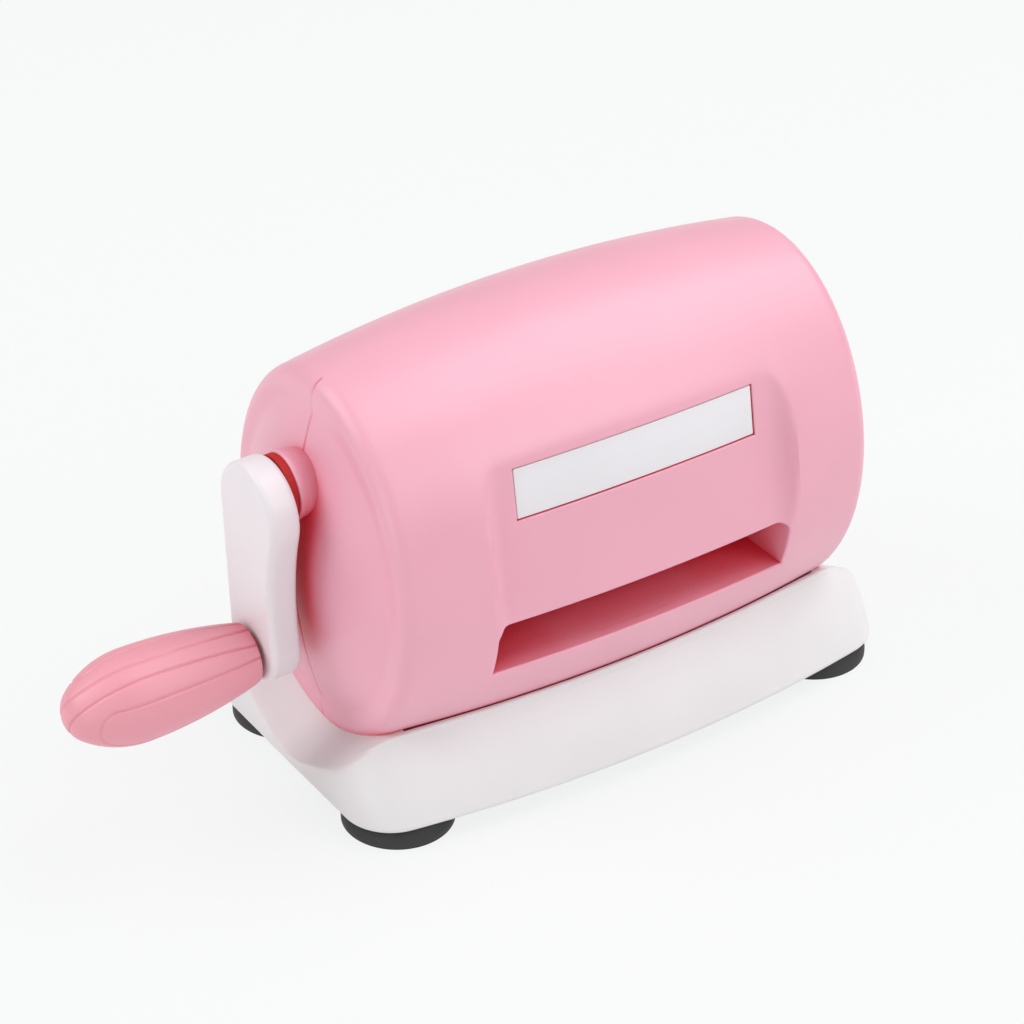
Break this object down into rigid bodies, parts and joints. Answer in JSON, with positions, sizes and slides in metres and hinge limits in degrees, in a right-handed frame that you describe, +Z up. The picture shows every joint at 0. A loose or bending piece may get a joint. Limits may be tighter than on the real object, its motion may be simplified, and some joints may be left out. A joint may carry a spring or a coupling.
{
  "type": "die cutting machine",
  "caption": "Small hand-cranked die cutting machine: oval barrel housing with a feed slot and inset panel, sloping base on suction feet, side crank with a rounded grip, geared rollers inside.",
  "frame": {"origin": "middle of the four suction feet, on the table", "axes": "+X along the barrel away from the crank, +Y from the feed side to the exit side, +Z up"},
  "size_m": [0.2137, 0.0902, 0.1156],
  "materials": {
    "pink_shell": "satin moulded",
    "white_base": "satin moulded",
    "white_label": "glossy, bare",
    "white_arm": "satin moulded",
    "pink_grip": "satin moulded",
    "black_rubber": "matt",
    "red_fibre": "matt",
    "steel_plate": "zinc plated",
    "steel_bar": "ground",
    "steel_screw": "zinc plated",
    "bronze": "oiled sintered bronze",
    "gear_plastic": "natural acetal"
  },
  "bodies": {
    "housing": {"front_shell": "pink_shell", "rear_shell": "pink_shell", "label_plate": "white_label", "base": "white_base", "base_plate": "white_base", "foot_front_left": "black_rubber", "foot_front_right": "black_rubber", "foot_rear_left": "black_rubber", "foot_rear_right": "black_rubber", "left_side_plate": "steel_plate", "right_side_plate": "steel_plate", "upper_front_tie_bar": "steel_bar", "upper_rear_tie_bar": "steel_bar", "lower_front_tie_bar": "steel_bar", "lower_rear_tie_bar": "steel_bar", "tie_bar_screws": "steel_screw", "frame_screws": "steel_screw", "base_screws": "steel_screw", "housing_screws": "steel_screw", "shell_screws": "steel_screw", "upper_left_bush": "bronze", "upper_right_bush": "bronze", "lower_left_bush": "bronze", "lower_right_bush": "bronze", "crank_inner_bush": "bronze", "crank_outer_bush": "bronze"},
    "crank": {"crank_shaft": "steel_bar", "crank_pinion": "gear_plastic", "crank_clip": "steel_screw", "thrust_washer": "red_fibre", "crank_arm": "white_arm", "arm_grub_screw": "steel_screw", "grip_spindle": "steel_bar"},
    "grip": {"grip_front_half": "pink_grip", "grip_rear_half": "pink_grip"},
    "upper_roller_set": {"upper_roller": "steel_bar", "upper_gear": "gear_plastic", "upper_roller_clips": "steel_screw"},
    "lower_roller_set": {"lower_roller": "steel_bar", "lower_gear": "gear_plastic", "lower_roller_clips": "steel_screw"}
  },
  "joints": [
    {"name": "crank_turn", "type": "hinge", "parent": "housing", "child": "crank", "pos_m": [-0.079, 0, 0.085], "axis": [1, 0, 0], "continuous": true},
    {"name": "grip_spin", "type": "hinge", "parent": "crank", "child": "grip", "pos_m": [-0.1, 0, 0.042], "axis": [1, 0, 0], "continuous": true},
    {"name": "upper_roller_turn", "type": "hinge", "parent": "housing", "child": "upper_roller_set", "pos_m": [0, 0, 0.06], "axis": [1, 0, 0], "continuous": true},
    {"name": "lower_roller_turn", "type": "hinge", "parent": "housing", "child": "lower_roller_set", "pos_m": [0, 0, 0.032], "axis": [1, 0, 0], "continuous": true}
  ],
  "couplings": [
    {"joint": "upper_roller_turn", "follows": "crank_turn", "ratio": -0.78571},
    {"joint": "lower_roller_turn", "follows": "crank_turn", "ratio": 0.78571}
  ]
}
